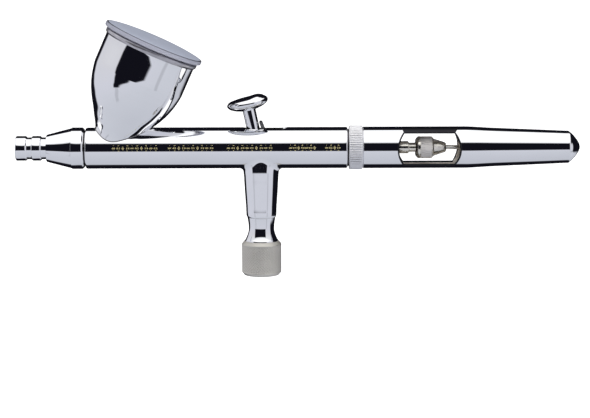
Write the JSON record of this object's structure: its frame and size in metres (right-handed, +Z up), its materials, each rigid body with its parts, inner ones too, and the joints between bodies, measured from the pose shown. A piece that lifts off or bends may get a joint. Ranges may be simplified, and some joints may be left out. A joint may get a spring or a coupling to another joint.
{
  "type": "airbrush gun",
  "caption": "Gravity-feed double-action airbrush gun with a tilted lidded paint cup, a disc trigger, a windowed handle and a knurled air inlet below.",
  "frame": {"origin": "centre of the inlet adapter's open mouth, at the bottom of the air stem", "axes": "+X along the barrel from the nozzle towards the handle's tail, +Z up along the air stem towards the trigger, +Y to the far side of the barrel"},
  "size_m": [0.1645, 0.0298, 0.0748],
  "materials": {
    "chrome": "mirror-polished chrome plate",
    "lid_plastic": "translucent frosted moulded plastic",
    "brass": "turned brass",
    "ptfe": "white fluoropolymer",
    "steel": "ground stainless steel",
    "nickel": "warm satin nickel plate",
    "satin_nickel": "bead-blasted knurled nickel plate",
    "seal_rubber": "matte nitrile rubber"
  },
  "bodies": {
    "frame": {"body": "chrome", "paint_cup": "chrome", "nozzle_cap": "chrome", "nozzle": "brass", "nozzle_seal": "ptfe", "needle_packing": "ptfe", "packing_screw": "brass", "spring_case": "nickel", "needle_spring": "steel", "piston_packing": "ptfe", "valve_body_gasket": "seal_rubber", "air_valve_body": "chrome", "valve_spring": "steel", "valve_guide_screw": "brass", "inlet_gasket": "seal_rubber", "inlet_adapter": "satin_nickel"},
    "lid": {"cup_lid": "lid_plastic"},
    "needle_guard": {"needle_cap": "chrome"},
    "carriage": {"chucking_guide": "nickel", "needle": "steel"},
    "chuck": {"chuck_nut": "nickel"},
    "rear_handle": {"handle": "chrome", "handle_ring": "chrome", "handle_end_cap": "chrome"},
    "piston": {"valve_piston": "brass"},
    "trigger": {"trigger_stem": "chrome", "trigger_button": "chrome"},
    "lever": {"auxiliary_lever": "steel"},
    "plunger": {"valve_stem": "brass", "valve_seal": "seal_rubber"}
  },
  "joints": [
    {"name": "trigger_press", "type": "slide", "parent": "frame", "child": "piston", "axis": [0, 0, -1], "range_m": [0, 0.0028], "stiffness_N_per_m": 600, "springref_m": -0.001},
    {"name": "trigger_pull", "type": "hinge", "parent": "piston", "child": "trigger", "pos_m": [0, 0, 0.0325], "axis": [0, 1, 0], "range_deg": [0, 20]},
    {"name": "valve_lift", "type": "slide", "parent": "frame", "child": "plunger", "axis": [0, 0, -1], "range_m": [0, 0.0028], "deforming": ["valve_spring"]},
    {"name": "needle_travel", "type": "slide", "parent": "frame", "child": "carriage", "axis": [1, 0, 0], "range_m": [0, 0.0028], "stiffness_N_per_m": 60, "springref_m": -0.002, "deforming": ["needle_spring"]},
    {"name": "lever_rock", "type": "hinge", "parent": "frame", "child": "lever", "pos_m": [0.0033, 0, 0.0356], "axis": [0, 1, 0], "range_deg": [0, 33.5]},
    {"name": "chuck_nut_turn", "type": "hinge", "parent": "carriage", "child": "chuck", "pos_m": [0.045, 0, 0.0375], "axis": [1, 0, 0], "range_deg": [0, 540]},
    {"name": "handle_off", "type": "slide", "parent": "frame", "child": "rear_handle", "axis": [1, 0, 0], "range_m": [0, 0.065]},
    {"name": "lid_lift", "type": "slide", "parent": "frame", "child": "lid", "axis": [0.4067, 0, 0.9135], "range_m": [0, 0.025]},
    {"name": "needle_cap_off", "type": "slide", "parent": "frame", "child": "needle_guard", "axis": [-1, 0, 0], "range_m": [0, 0.015]}
  ],
  "couplings": [
    {"joint": "valve_lift", "follows": "trigger_press", "ratio": 1},
    {"joint": "trigger_pull", "follows": "needle_travel", "rad_per_m": 124},
    {"joint": "lever_rock", "follows": "needle_travel", "rad_per_m": 204.6}
  ]
}
